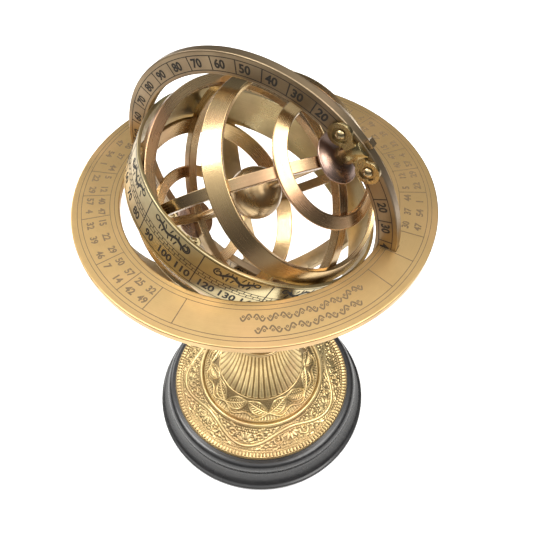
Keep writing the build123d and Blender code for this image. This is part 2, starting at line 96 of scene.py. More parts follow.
# ---- materials -----------------------------------------------------------------------------------
class Graph:
    """Short way to build one material's nodes."""

    def __init__(self, name):
        self.material = bpy.data.materials.new(name)
        self.material.use_nodes = True
        self.nodes = self.material.node_tree.nodes
        self.links = self.material.node_tree.links
        self.shader = self.nodes["Principled BSDF"]

    def drive(self, socket, value):
        """Feeds a value that varies over the surface to the shader."""
        self.links.new(value, self.shader.inputs[socket])

    def hold(self, socket, value):
        """Sets a shader value that is the same all over the surface."""
        self.shader.inputs[socket].default_value = value

    def add(self, kind, inputs=(), **settings):
        node = self.nodes.new(kind)
        for key, value in settings.items():
            setattr(node, key, value)
        for key, value in dict(inputs).items():
            if isinstance(value, bpy.types.NodeSocket):
                self.links.new(value, node.inputs[key])
            else:
                node.inputs[key].default_value = value
        return node

    def noise(self, vector, scale, detail=4.0, roughness=0.55):
        return self.add(
            "ShaderNodeTexNoise",
            {"Vector": vector, "Scale": scale, "Detail": detail, "Roughness": roughness},
        ).outputs["Fac"]

    def stretch(self, vector, scale):
        return self.add("ShaderNodeMapping", {"Vector": vector, "Scale": scale}).outputs["Vector"]

    def remap(self, value, low, high, to_low, to_high):
        return self.add(
            "ShaderNodeMapRange",
            {"Value": value, "From Min": low, "From Max": high, "To Min": to_low, "To Max": to_high},
        ).outputs["Result"]

    def blend(self, factor, first, second, mode="MIX"):
        node = self.add("ShaderNodeMix", data_type="RGBA", blend_type=mode)
        for socket, value in zip((node.inputs[0], node.inputs[6], node.inputs[7]), (factor, first, second)):
            if isinstance(value, bpy.types.NodeSocket):
                self.links.new(value, socket)
            elif isinstance(value, tuple):
                socket.default_value = (*value, 1.0)
            else:
                socket.default_value = value
        return node.outputs[2]

    def combine(self, operation, first, second):
        return self.add("ShaderNodeMath", {0: first, 1: second}, operation=operation).outputs[0]

    def bump(self, height, strength, distance):
        node = self.add("ShaderNodeBump", {"Height": height, "Strength": strength, "Distance": distance})
        self.drive("Normal", node.outputs["Normal"])

    def object_coordinates(self):
        return self.add("ShaderNodeTexCoord").outputs["Object"]

    def band_coordinates(self):
        return self.add("ShaderNodeUVMap", uv_map="band").outputs["UV"]


def brass(name, face, shade, tint, roughness, banded=True, relief=False, brushing=1.0):
    """Aged brass: blotches of patina and copper tint, brushing along the band, and darker colour in the low
    parts of a relief.
    """
    graph = Graph(name)
    place = graph.object_coordinates()
    blotches = graph.noise(place, 55.0, 5.0, 0.6)
    tints = graph.noise(place, 28.0, 3.0)
    pits = graph.noise(place, 1400.0, 3.0)
    if banded:
        along = graph.stretch(graph.band_coordinates(), (0.03, 3.2, 1.0))
        streaks = graph.noise(along, 1.0, 6.0, 0.7)
    else:
        streaks = graph.noise(graph.stretch(place, (500.0, 500.0, 60.0)), 1.0, 5.0, 0.7)
    colour = graph.blend(graph.remap(blotches, 0.38, 0.68, 0.0, 0.75), face, shade)
    colour = graph.blend(graph.remap(tints, 0.5, 0.72, 0.0, 0.7), colour, tint)
    colour = graph.blend(graph.remap(streaks, 0.35, 0.7, 0.0, 0.28 * brushing), colour, shade)
    if relief:
        # The low parts of the relief are coloured darker, towards the shade colour.
        height = graph.add("ShaderNodeAttribute", attribute_name="relief").outputs["Fac"]
        colour = graph.blend(graph.remap(height, 0.05, 0.7, 0.9, 0.0), colour, shade)
    graph.drive("Base Color", colour)
    rough = graph.combine(
        "ADD",
        graph.remap(blotches, 0.3, 0.7, roughness - 0.05, roughness + 0.09),
        graph.remap(streaks, 0.3, 0.7, -0.03, 0.07 * brushing),
    )
    graph.drive("Roughness", rough)
    scratches = graph.combine("MULTIPLY", streaks, 0.6 * brushing)
    graph.bump(graph.combine("ADD", scratches, graph.combine("MULTIPLY", pits, 0.5)), 0.22, 0.00008)
    graph.hold("Metallic", 1.0)
    return graph.material


def lacquered_wood():
    graph = Graph("black_satin_wood")
    place = graph.object_coordinates()
    grain = graph.noise(graph.stretch(place, (25.0, 420.0, 420.0)), 1.0, 5.0, 0.6)
    cloud = graph.noise(place, 60.0, 3.0)
    pores = graph.remap(grain, 0.35, 0.7, 0.0, 1.0)
    colour = graph.blend(pores, (0.011, 0.011, 0.012), (0.021, 0.020, 0.020))
    graph.drive("Base Color", colour)
    graph.drive("Roughness", graph.remap(cloud, 0.3, 0.7, 0.22, 0.29))
    graph.bump(grain, 0.10, 0.00004)
    graph.hold("Coat Weight", 0.12)
    graph.hold("Coat Roughness", 0.3)
    return graph.material


def felt():
    graph = Graph("felt")
    fibres = graph.noise(graph.object_coordinates(), 2600.0, 4.0)
    graph.drive("Base Color", graph.blend(fibres, (0.015, 0.03, 0.017), (0.05, 0.08, 0.05)))
    graph.bump(fibres, 0.7, 0.0002)
    graph.hold("Roughness", 0.95)
    graph.hold("Sheen Weight", 0.3)
    return graph.material


def plated_steel():
    graph = Graph("plated_steel")
    place = graph.object_coordinates()
    cloud = graph.noise(place, 220.0, 4.0)
    graph.drive("Base Color", graph.blend(cloud, (0.42, 0.42, 0.43), (0.62, 0.61, 0.58)))
    graph.drive("Roughness", graph.remap(cloud, 0.3, 0.7, 0.28, 0.45))
    graph.bump(graph.noise(place, 1800.0, 3.0), 0.2, 0.00006)
    graph.hold("Metallic", 1.0)
    return graph.material


def line_fill(name, colour, worn):
    """Filling of the engraved lines, matt and a little worn."""
    graph = Graph(name)
    specks = graph.noise(graph.object_coordinates(), 1500.0, 4.0)
    wear = graph.remap(specks, 0.45, 0.75, 0.0, 0.8)
    graph.drive("Base Color", graph.blend(wear, colour, worn))
    graph.drive("Roughness", graph.remap(specks, 0.3, 0.7, 0.5, 0.8))
    graph.hold("Metallic", 0.3)
    return graph.material


horizon_brass = brass("horizon_brass", (0.62, 0.42, 0.19), (0.42, 0.28, 0.12), (0.67, 0.42, 0.21), 0.32)
meridian_brass = brass(
    "meridian_brass", (0.33, 0.245, 0.15), (0.19, 0.14, 0.085), (0.38, 0.265, 0.17), 0.36
)
zodiac_brass = brass("zodiac_brass", (0.57, 0.47, 0.26), (0.31, 0.25, 0.135), (0.57, 0.42, 0.25), 0.28)
ring_brass = brass("ring_brass", (0.52, 0.37, 0.20), (0.22, 0.155, 0.085), (0.58, 0.32, 0.19), 0.23)
hoop_brass = brass("hoop_brass", (0.66, 0.48, 0.24), (0.38, 0.25, 0.125), (0.68, 0.38, 0.23), 0.21)
cradle_brass = brass(
    "cradle_brass", (0.46, 0.35, 0.20), (0.22, 0.17, 0.10), (0.48, 0.32, 0.20), 0.32, banded=False
)
clamp_brass = brass(
    "clamp_brass", (0.52, 0.41, 0.20), (0.22, 0.16, 0.08), (0.48, 0.31, 0.17), 0.22, banded=False
)
rivet_brass = brass(
    "rivet_brass", (0.56, 0.45, 0.25), (0.30, 0.22, 0.12), (0.50, 0.36, 0.22), 0.22, banded=False
)
turned_brass = brass("turned_brass", (0.62, 0.45, 0.22), (0.34, 0.23, 0.11), (0.62, 0.38, 0.21), 0.27)
pedestal_brass = brass(
    "pedestal_brass", (0.84, 0.65, 0.32), (0.27, 0.185, 0.085), (0.86, 0.56, 0.30), 0.30, relief=True
)
dark_bronze = brass(
    "dark_bronze", (0.46, 0.33, 0.25), (0.19, 0.125, 0.11), (0.50, 0.33, 0.29), 0.25, brushing=0.4
)
ball_bronze = brass(
    "ball_bronze", (0.50, 0.36, 0.19), (0.20, 0.135, 0.075), (0.44, 0.26, 0.15), 0.28, brushing=0.4
)
rod_brass = brass(
    "rod_brass", (0.60, 0.45, 0.27), (0.28, 0.20, 0.12), (0.58, 0.38, 0.24), 0.26, banded=False
)
black_wood = lacquered_wood()
green_felt = felt()
steel = plated_steel()
dark_fill = line_fill("dark_fill", (0.018, 0.015, 0.012), (0.09, 0.07, 0.045))
brown_fill = line_fill("brown_fill", (0.13, 0.085, 0.04), (0.24, 0.16, 0.08))


# ---- making meshes -------------------------------------------------------------------------------
class Basis:
    """An origin and three axes: points are given as radius, turn and height about n."""

    def __init__(self, origin, u, n):
        self.origin = np.array(origin)
        self.u = np.array(Vector(u).normalized())
        self.n = np.array(Vector(n).normalized())
        self.w = np.cross(self.n, self.u)

    def point(self, r, turn, h):
        """Position, in metres, of arrays of radius, turn in radians and height."""
        r, turn, h = np.broadcast_arrays(r, turn, h)
        level = np.cos(turn)[..., None] * self.u + np.sin(turn)[..., None] * self.w
        return (self.origin + r[..., None] * level + h[..., None] * self.n) * MM


def celestial(azimuth, altitude):
    """Direction inside the turning sphere."""
    up = pole.cross(Vector((0, 1, 0))) * -1
    if up.z < 0:
        up = up * -1
    level = up * math.cos(azimuth) + pole.cross(up) * math.sin(azimuth)
    return level * math.cos(altitude) + pole * math.sin(altitude)


upright = Basis((0, 0, 0), (1, 0, 0), (0, 0, 1))
meridian_basis = Basis(centre, (1, 0, 0), (0, -1, 0))
equatorial = Basis(centre, celestial(0, 0), pole)
zodiac_pole = celestial(solstice_azimuth, math.pi / 2 - obliquity)
zodiac_basis = Basis(centre, celestial(solstice_azimuth, -obliquity), zodiac_pole)
colure_bases = {
    "solstitial_colure": Basis(centre, pole, celestial(solstice_azimuth + math.pi / 2, 0)),
    "equinoctial_colure": Basis(centre, pole, celestial(solstice_azimuth, 0)),
}


def piece(name, mesh, material, body, replaced=()):
    """Object for a mesh that rides on a body."""
    made = bpy.data.objects.new(name, mesh)
    bpy.context.scene.collection.objects.link(made)
    mesh.materials.clear()
    mesh.materials.append(material)
    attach(made, body)
    if replaced:
        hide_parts(*replaced)
    return made


def tidy(mesh, sharp_angle=40.0):
    """Merges doubled points, turns the faces outward, and shades smooth up to an angle."""
    work = bmesh.new()
    work.from_mesh(mesh)
    bmesh.ops.remove_doubles(work, verts=work.verts, dist=2e-7)
    bmesh.ops.recalc_face_normals(work, faces=work.faces)
    work.to_mesh(mesh)
    work.free()
    mesh.polygons.foreach_set("use_smooth", [True] * len(mesh.polygons))
    mesh.set_sharp_from_angle(angle=math.radians(sharp_angle))
    mesh.update()


def grid_mesh(name, points, uv, relief=None):
    """Closed surface from rows round a section and columns round a turn."""
    rows, columns = points.shape[:2]
    index = np.arange(rows * columns).reshape(rows, columns)
    down = np.roll(index, -1, axis=0)
    quads = np.stack([index, np.roll(index, -1, axis=1), np.roll(down, -1, axis=1), down], -1)
    mesh = bpy.data.meshes.new(name)
    mesh.from_pydata(points.reshape(-1, 3).tolist(), [], quads.reshape(-1, 4).tolist())
    layer = mesh.uv_layers.new(name="band")
    turn_mm, across_mm = uv
    along = np.arange(columns + 1) / columns * turn_mm
    column, row = np.meshgrid(np.arange(columns), np.arange(rows))
    corner_u = np.stack([along[column], along[column + 1], along[column + 1], along[column]], -1)
    corner_v = np.stack([across_mm[row], across_mm[row], across_mm[row + 1], across_mm[row + 1]], -1)
    layer.data.foreach_set("uv", np.stack([corner_u, corner_v], -1).ravel())
    if relief is not None:
        mesh.attributes.new("relief", "FLOAT", "POINT").data.foreach_set("value", relief.ravel())
    return mesh


def soften(corners, radius):
    """Rounds the corners of a closed outline, with one more point either side to keep flats flat."""
    corners = [np.array(corner, float) for corner in corners]
    made = []
    for before, corner, after in zip(corners[-1:] + corners[:-1], corners, corners[1:] + corners[:1]):
        back, ahead = before - corner, after - corner
        reach = min(radius, 0.4 * np.linalg.norm(back), 0.4 * np.linalg.norm(ahead))
        back, ahead = back / np.linalg.norm(back), ahead / np.linalg.norm(ahead)
        made.append(corner + back * reach * 1.25)
        for t in (0.0, 0.25, 0.5, 0.75, 1.0):
            made.append(corner + back * reach * (1 - t) ** 2 + ahead * reach * t**2)
        made.append(corner + ahead * reach * 1.25)
    return np.array(made)


def revolved(name, section, basis, segments):
    """Mesh of a closed (radius, height) outline turned round a basis."""
    section = np.array(section, float)
    turn = np.arange(segments) / segments * TAU
    points = basis.point(section[:, :1], turn[None, :], section[:, 1:2])
    steps = np.linalg.norm(np.roll(section, -1, axis=0) - section, axis=1)
    across = np.concatenate([[0], np.cumsum(steps)])
    mesh = grid_mesh(name, points, (TAU * section[:, 0].mean(), across))
    tidy(mesh)
    return mesh


def turned(name, section, basis, segments, material, body, node):
    """Piece turned round a basis, that stands for one CAD node."""
    return piece(name, revolved(name, section, basis, segments), material, body, [node])


def rectangle(inner, outer, low, high):
    return [(inner, low), (outer, low), (outer, high), (inner, high)]


def bezier(first, first_handle, second_handle, second, count):
    """Points along a cubic curve, without the last."""
    t = (np.arange(count) / count)[:, None]
    first, first_handle, second_handle, second = map(np.array, (first, first_handle, second_handle, second))
    return (
        first * (1 - t) ** 3
        + first_handle * 3 * t * (1 - t) ** 2
        + second_handle * 3 * t**2 * (1 - t)
        + second * t**3
    )


def profile(origin_r, origin_h, curves):
    """Points along cubic curves, given as four offsets from one origin and a count."""
    points = []
    for *handles, count in curves:
        points.extend(bezier(*(np.add((origin_r, origin_h), handle) for handle in handles), count))
    return points


def cut(target, cutters):
    """Subtracts solids from an object and keeps the result as its mesh."""
    for cutter in cutters:
        bpy.context.scene.collection.objects.link(cutter)
        modifier = target.modifiers.new("cut", "BOOLEAN")
        modifier.object = cutter
        modifier.operation = "DIFFERENCE"
        modifier.solver = "EXACT"
    graph = bpy.context.evaluated_depsgraph_get()
    result = bpy.data.meshes.new_from_object(target.evaluated_get(graph))
    target.modifiers.clear()
    target.data = result
    result.set_sharp_from_angle(angle=math.radians(40.0))
    for cutter in cutters:
        bpy.data.objects.remove(cutter)


def block(size, place):
    """Cutter: a box of a size in mm, centred on a place in mm."""
    mesh = bpy.data.meshes.new("cutter")
    work = bmesh.new()
    bmesh.ops.create_cube(work, size=1.0)
    matrix = Matrix.Translation(Vector(place) * MM) @ Matrix.Diagonal((*(Vector(size) * MM), 1))
    bmesh.ops.transform(work, matrix=matrix, verts=work.verts)
    work.to_mesh(mesh)
    work.free()
    return bpy.data.objects.new("cutter", mesh)


# ---- engraving: flat line work, bent on to a ring as a thin filling ------------------------------
class Engraving:
    """Collects strokes and numerals in flat millimetres, x along the ring and y across it."""

    depth = 0.035

    def __init__(self):
        self.points = []
        self.faces = []

    def stroke(self, path, width, closed=False):
        """Line of one width along a path; closed joins its ends."""
        path = np.array(path, float)
        ahead = np.roll(path, -1, axis=0) - path
        behind = path - np.roll(path, 1, axis=0)
        if not closed:
            ahead[-1] = behind[-1]
            behind[0] = ahead[0]
        heading = ahead / np.linalg.norm(ahead, axis=1)[:, None]
        heading += behind / np.linalg.norm(behind, axis=1)[:, None]
        heading /= np.maximum(np.linalg.norm(heading, axis=1), 1e-6)[:, None]
        side = np.stack([-heading[:, 1], heading[:, 0]], -1) * (width / 2)
        start = len(self.points)
        for middle, offset in zip(path, side):
            for edge, level in ((offset, 0), (-offset, 0), (-offset, 1), (offset, 1)):
                self.points.append((*(middle + edge), level))
        count = len(path)
        for i in range(count if closed else count - 1):
            here, there = start + 4 * i, start + 4 * ((i + 1) % count)
            for k in range(4):
                self.faces.append((here + k, here + (k + 1) % 4, there + (k + 1) % 4, there + k))
        if not closed:
            self.faces.append((start, start + 3, start + 2, start + 1))
            last = start + 4 * (count - 1)
            self.faces.append((last, last + 1, last + 2, last + 3))

    def line(self, x0, y0, x1, y1, width=0.28, steps=6):
        t = np.linspace(0, 1, steps)[:, None]
        self.stroke(np.array((x0, y0)) * (1 - t) + np.array((x1, y1)) * t, width)

    def numeral(self, text, x, y, height):
        """Numerals with their lower left corner at x, y."""
        points, faces = numeral_mesh(text)
        start = len(self.points)
        for point in points:
            self.points.append((x + point[0] * height, y + point[1] * height, point[2]))
        self.faces.extend(tuple(start + corner for corner in face) for face in faces)


bold = 0.034
numerals = {}


def numeral_mesh(text):
    """Points (with level 0 or 1) and faces of numerals as a flat solid one unit high."""
    if text not in numerals:
        curve = bpy.data.curves.new("numeral", "FONT")
        curve.body = text
        curve.extrude = 0.5
        curve.offset = bold
        curve.resolution_u = 3
        made = bpy.data.objects.new("numeral", curve)
        bpy.context.scene.collection.objects.link(made)
        bpy.context.view_layer.update()
        graph = bpy.context.evaluated_depsgraph_get()
        mesh = bpy.data.meshes.new_from_object(made.evaluated_get(graph))
        work = bmesh.new()
        work.from_mesh(mesh)
        bmesh.ops.remove_doubles(work, verts=work.verts, dist=1e-5)
        work.to_mesh(mesh)
        work.free()
        points = np.array([vertex.co[:] for vertex in mesh.vertices])
        low, high = points.min(0), points.max(0)
        points[:, :2] = (points[:, :2] - low[:2]) / (high[1] - low[1])
        points[:, 2] = points[:, 2] > 0
        numerals[text] = points, [tuple(face.vertices) for face in mesh.polygons]
        bpy.data.objects.remove(made)
    return numerals[text]


# ---- camera, light and floor ---------------------------------------------------------------------
aim = Vector((6.8, 3.8, 121.6))
view_azimuth, view_elevation, view_roll = (math.radians(angle) for angle in (29.4, 53.23, 0.34))
view_distance = 266.1
back = Vector(
    (
        math.sin(view_azimuth) * math.cos(view_elevation),
        -math.cos(view_azimuth) * math.cos(view_elevation),
        math.sin(view_elevation),
    )
)
camera = bpy.data.objects.new("camera", bpy.data.cameras.new("camera"))
bpy.context.scene.collection.objects.link(camera)
camera.location = (aim + back * view_distance) * MM
camera.rotation_mode = "QUATERNION"
camera.rotation_quaternion = (-back).to_track_quat("-Z", "Y") @ Quaternion((0, 0, 1), view_roll)
camera.data.sensor_width = 36.0
camera.data.lens = 37.56
camera.data.clip_start = 0.01
bpy.context.scene.camera = camera


def soft_light(name, place, size, power, colour=(1, 1, 1)):
    """Square area light, aimed at the middle of the sphere. Place is in mm."""
    light = bpy.data.lights.new(name, "AREA")
    light.shape = "SQUARE"
    light.size = size * MM
    light.energy = power
    light.color = colour
    made = bpy.data.objects.new(name, light)
    bpy.context.scene.collection.objects.link(made)
    made.location = Vector(place) * MM
    made.rotation_mode = "QUATERNION"
    made.rotation_quaternion = (centre - Vector(place)).to_track_quat("-Z", "Y")


soft_light("window", (-520, -300, 1100), 480, 8.0, (1.0, 0.99, 0.97))
soft_light("fill", (450, 260, 1150), 480, 5.0, (1.0, 0.98, 0.95))
soft_light("right", (700, -125, 1020), 480, 4.0, (1.0, 0.98, 0.95))
soft_light("side", (-900, 150, 520), 450, 3.0, (1.0, 0.99, 0.96))

# Sky: a broad soft light overhead, a little toward the front, that falls to a dim room at the sides.
world = bpy.data.worlds.new("studio")
bpy.context.scene.world = world
world.use_nodes = True
sky_nodes, sky_links = world.node_tree.nodes, world.node_tree.links
background = sky_nodes["Background"]
direction = sky_nodes.new("ShaderNodeTexCoord").outputs["Generated"]
overhead = sky_nodes.new("ShaderNodeVectorMath")
overhead.operation = "DOT_PRODUCT"
sky_links.new(direction, overhead.inputs[0])
overhead.inputs[1].default_value = Vector((0.04, -0.10, 1.0)).normalized()
fade = sky_nodes.new("ShaderNodeValToRGB")
ramp = fade.color_ramp
ramp.interpolation = "EASE"
sky_steps = ((0.0, 0.03), (0.25, 0.06), (0.45, 0.11), (0.60, 0.25), (0.70, 0.39), (0.80, 0.58), (0.92, 1.0))
ramp.elements.remove(ramp.elements[1])
for count, (place, level) in enumerate(sky_steps):
    element = ramp.elements.new(place) if count else ramp.elements[0]
    element.color = (level, level, level * 0.99, 1.0)
sky_links.new(overhead.outputs["Value"], fade.inputs["Fac"])
sky_links.new(fade.outputs["Color"], background.inputs["Color"])
background.inputs["Strength"].default_value = 2.0
bpy.context.scene.view_settings.view_transform = "Standard"

# Floor: paper in a painted pool of light, white and glowing round and behind the sphere, painted grey in
# front and far away.
floor_reach, light_pool_offset, light_pool_within, painted_shade_beyond = 2.0, 0.32, 0.46, 0.78
floor_turns = np.arange(96) / 96 * TAU
floor_rim = [(floor_reach * math.cos(a), floor_reach * math.sin(a), 0) for a in floor_turns]
floor_mesh = bpy.data.meshes.new("floor")
floor_mesh.from_pydata(floor_rim, [], [tuple(range(len(floor_rim)))])
floor = bpy.data.objects.new("floor", floor_mesh)
bpy.context.scene.collection.objects.link(floor)
light_pool_middle = Vector((-back.x, -back.y, 0)).normalized() * light_pool_offset
floor.location = (light_pool_middle.x, light_pool_middle.y, cad_low.z - 0.0001)
floor_graph = Graph("floor_painted_light_pool")
floor_place = floor_graph.object_coordinates()
mottle = floor_graph.noise(floor_place, 6.0)
distance = floor_graph.add("ShaderNodeVectorMath", {0: floor_place}, operation="LENGTH").outputs["Value"]
# Painted pool of light: 1 near the floor's middle, falling smoothly to 0 far away.
painted_light_pool = floor_graph.add(
    "ShaderNodeMapRange",
    {"Value": distance, "From Min": light_pool_within, "From Max": painted_shade_beyond, "To Min": 1.0, "To Max": 0.0},
    interpolation_type="SMOOTHSTEP",
).outputs["Result"]
paper = floor_graph.blend(mottle, (0.93, 0.93, 0.93), (0.96, 0.96, 0.955))
# Painted shade: the floor is grey outside the pool and paper white inside it.
floor_graph.drive("Base Color", floor_graph.blend(painted_light_pool, (0.22, 0.22, 0.22), paper))
# Painted glow: the floor emits light inside the pool, though it is no lamp.
floor_graph.drive("Emission Strength", floor_graph.remap(painted_light_pool, 0.0, 1.0, 0.0, 0.22))
floor_graph.hold("Roughness", 0.9)
floor_graph.hold("Emission Color", (1, 1, 1, 1))
floor_mesh.materials.append(floor_graph.material)

# ---- wooden base ---------------------------------------------------------------------------------
base_r, base_bore_r = wood_high.x, 9.5
base_low, base_top = wood_low.z, wood_high.z
base_curves = [
    ((-1.2, 0), (-0.4, 0), (0, 0.5), (0, 1.2), 6),
    ((0, 1.2), (0, 2.0), (-0.4, 2.5), (-1.1, 2.6), 6),
    ((-1.6, 2.7), (-3.4, 4.2), (-5.4, 7.0), (-6.0, 9.8), 14),
    ((-6.0, 9.8), (-6.4, 10.3), (-6.8, 10.4), (-6.7, 10.6), 4),
    ((-6.6, 10.7), (-5.2, 11.6), (-4.9, 17.3), (-8.6, base_top - base_low), 14),
]
base_section = [
    (base_bore_r, base_low),
    *profile(base_r, base_low, base_curves),
    (base_r - 9.2, base_top),
    (30.0, base_top),
    (base_bore_r, base_top),
]
turned("turned_base", base_section, upright, 240, black_wood, "stand", "wooden_base")

# ---- embossed pedestal ---------------------------------------------------------------------------
# Each band's figures are drawn flat, at the width that they have at one radius of the band.
sheet_thickness = 1.2
scroll_band_r = 43.0
leaf_band_r = 29.0


def ridge(distance, width):
    """Rounded ridge: 1 on its line, 0 at its edge."""
    return np.sqrt(np.clip(1 - (distance / width) ** 2, 0, 1))


def leaf(x, y, place, angle, length, width):
    """Small raised leaf with a groove down its middle."""
    along = (x - place[0]) * math.cos(angle) + (y - place[1]) * math.sin(angle)
    across = (y - place[1]) * math.cos(angle) - (x - place[0]) * math.sin(angle)
    edge = width * np.clip(1 - (along / length) ** 2, 0, 1)
    body = np.clip(1 - np.abs(across) / np.maximum(edge, 0.01), 0, 1) * (np.abs(along) < length)
    return np.sqrt(body) - 0.35 * ridge(across, 0.25) * (body > 0)


def curl(x, y, place, size, turns, start, hand, width):
    """Spiral tendril that fills a disc of a size in so many turns."""
    rho = np.hypot(x - place[0], y - place[1])
    phi = np.arctan2(y - place[1], (x - place[0]) * hand)
    arm = (rho / size) * turns - (phi - start) / TAU
    gap = np.abs(arm - np.round(arm)) * size / turns
    return ridge(gap, width) * (rho < size)


def stipple(x, y, pitch, size):
    """Staggered dots that fill the ground."""
    row = np.round(y / (0.87 * pitch))
    column = x / pitch + 0.5 * (row % 2)
    return ridge(np.hypot((column - np.round(column)) * pitch, y - row * 0.87 * pitch), size)


spray_buds = (
    ((5.0, 7.6), 0.9),
    ((2.2, 7.9), 0.7),
    ((4.7, 1.9), 0.7),
    ((8.4, 8.6), 0.85),
    ((12.6, 7.4), 1.05),
    ((15.4, 7.9), 0.85),
    ((11.9, 4.6), 0.85),
)
spray_leaves = (
    ((10.6, 9.3), 0.2),
    ((13.6, 5.6), 1.0),
    ((17.0, 6.9), 0.9),
    ((19.4, 8.6), 0.5),
    ((5.6, 4.9), 1.9),
)


def ticks(turn, r, count, width):
    """Short ridges across a band, so many to the turn."""
    return ridge(np.abs(((turn * count / TAU) % 1) - 0.5) * TAU * r / count, width)


def spray(x, y):
    """Growth on one side of the stem: a palmette, two curls, buds and leaves."""
    relief = ridge(np.hypot(x, y - 1.9), 0.8)
    for angle in (-1.15, -0.58, 0.0, 0.58, 1.15):
        place = (3.5 * math.sin(angle), 1.9 + 3.2 * math.cos(angle))
        relief = np.maximum(relief, leaf(x, y, place, math.pi / 2 - angle, 2.3, 1.05))
    for hand in (1, -1):
        relief = np.maximum(relief, curl(x, y, (hand * 8.4, 4.6), 2.9, 1.35, 0.4, hand, 0.62))
        for place, size in spray_buds:
            relief = np.maximum(relief, ridge(np.hypot(x - hand * place[0], y - place[1]), size))
        for place, angle in spray_leaves:
            place = (hand * place[0], place[1])
            relief = np.maximum(relief, leaf(x, y, place, hand * angle, 1.7, 0.8))
    return relief


def scroll_relief(turn, r, v, length):
    """Broad wave stem with sprays on both sides, between a hatched border and the ridge."""
    repeats, swing = 5, 3.7
    pitch = TAU / repeats
    tile = pitch * scroll_band_r
    x = ((turn / pitch + 0.5) % 1 - 0.5) * tile
    y = v - 0.55 * length
    wave = -swing * np.cos(TAU * x / tile)
    slope = swing * TAU / tile * np.sin(TAU * x / tile)
    stem_gap = (y - wave) / np.sqrt(1 + slope**2)
    stem = np.maximum(ridge(stem_gap, 0.95), 0.5 * ridge(np.abs(stem_gap) - 1.4, 0.3))
    crest_x = np.where(x > 0, x - tile / 2, x + tile / 2)
    growth = np.where(stem_gap > 0, spray(x, y + swing), spray(crest_x, swing - y))
    growth = np.where(np.abs(stem_gap) > 1.15, growth, 0)
    relief = np.maximum(stem, growth)
    ground = stipple(turn * r.mean(), y, 1.5, 0.5) * 0.45
    relief = np.maximum(relief, ground * (relief < 0.05))
    inside = (v > 4.9) & (v < length - 3.4)
    hatch = ticks(turn, r, 160, 0.55) * ((v > 2.3) & (v < 4.7))
    ring = ridge(v - length + 1.8, 1.2)
    edges = np.maximum(hatch * 0.8, ring * (v > length - 3.4))
    return np.maximum(np.where(inside, relief, 0), edges)


def leaf_relief(turn, r, v, length):
    """Ring of large outlined leaves on a wavy vine, half of each hatched and half dotted."""
    repeats = 14
    pitch = TAU / repeats
    cell = np.floor(turn / pitch)
    flip = np.where(cell % 2 == 0, 1.0, -1.0)
    x = ((turn / pitch) % 1 - 0.5) * pitch * leaf_band_r * flip
    y = v - 0.56 * length
    tilt = math.radians(27)
    along = x * math.cos(tilt) + y * math.sin(tilt)
    across = y * math.cos(tilt) - x * math.sin(tilt)
    half_length, half_width = 6.9, 3.5
    edge = half_width * np.clip(1 - (along / half_length) ** 2, 0, 1)
    inside = (np.abs(along) < half_length) & (np.abs(across) < edge)
    outline = ridge(np.abs(across) - edge, 0.6) * (np.abs(along) < half_length + 0.3)
    midrib = ridge(across, 0.45) * inside
    hatching = ridge(np.abs((((along + 0.7 * across) / 1.6) % 1) - 0.5) * 1.6, 0.5) * 0.75
    dots = stipple(along, across, 1.55, 0.62) * 0.95
    filling = np.where(across < 0, hatching, dots) * inside * (edge - np.abs(across) > 0.7)
    wave = -0.33 * length + 1.3 * np.cos(TAU * turn / pitch)
    vine = ridge(y - wave, 0.6)
    dotted = stipple(leaf_band_r * turn, y, 1.35, 0.5) * 0.22
    ground = np.where(y < wave, ticks(turn, r, 120, 0.5) * 0.5, dotted)
    field = np.where(inside, 0.12, np.maximum(vine, ground))
    relief = np.maximum.reduce([outline, midrib, filling, field])
    beads = np.maximum(ridge(v - 0.7, 0.4), ridge(v - length + 0.5, 0.5)) * 0.8
    return np.where((v > 1.2) & (v < length - 1.0), relief, beads)


def flute_relief(turn, r, v, length):
    """Rounded flutes that end in half circles at the leaves."""
    count = 40
    x = (((turn * count / TAU) % 1) - 0.5) * TAU * r / count
    half = 0.5 * TAU * r / count * 0.8
    foot = np.maximum(half - v - 0.2, 0)
    return ridge(np.hypot(x, foot), half) * np.clip((length - v) / 2.0, 0.0, 1)


def embossed(name, outline, relief_of, depth, segments):
    """Shell of spun sheet: relief on its outside, smooth inside."""
    outline = np.array(outline)
    steps = np.linalg.norm(np.diff(outline, axis=0), axis=1)
    v = np.concatenate([[0], np.cumsum(steps)])
    heading = np.gradient(outline, axis=0)
    normal = np.stack([heading[:, 1], -heading[:, 0]], -1)
    normal /= np.linalg.norm(normal, axis=1)[:, None]
    normal *= np.sign(normal[:, 1].sum())
    turn = np.arange(segments) / segments * TAU
    turn_grid, v_grid = np.meshgrid(turn, v)
    r_grid = np.repeat(outline[:, :1], segments, axis=1)
    relief = relief_of(turn_grid, r_grid, v_grid, v[-1])
    fade = np.clip(np.minimum(v_grid, v[-1] - v_grid) / 0.4, 0, 1)
    relief = relief * fade
    r = outline[:, :1] + normal[:, :1] * depth * relief
    h = outline[:, 1:2] + normal[:, 1:2] * depth * relief
    inner = (outline - normal * sheet_thickness)[:: -max(1, len(outline) // 12)]
    r = np.concatenate([r, np.repeat(inner[:, :1], segments, axis=1)])
    h = np.concatenate([h, np.repeat(inner[:, 1:2], segments, axis=1)])
    relief = np.concatenate([relief, np.zeros((len(inner), segments))])
    points = upright.point(r, turn[None, :], h)
    across = np.arange(len(r) + 1) * v[-1] / len(v)
    mesh = grid_mesh(name, points, (TAU * outline[:, 0].mean(), across), relief)
    tidy(mesh, 75.0)
    piece(name, mesh, pedestal_brass, "stand", ["pedestal"])


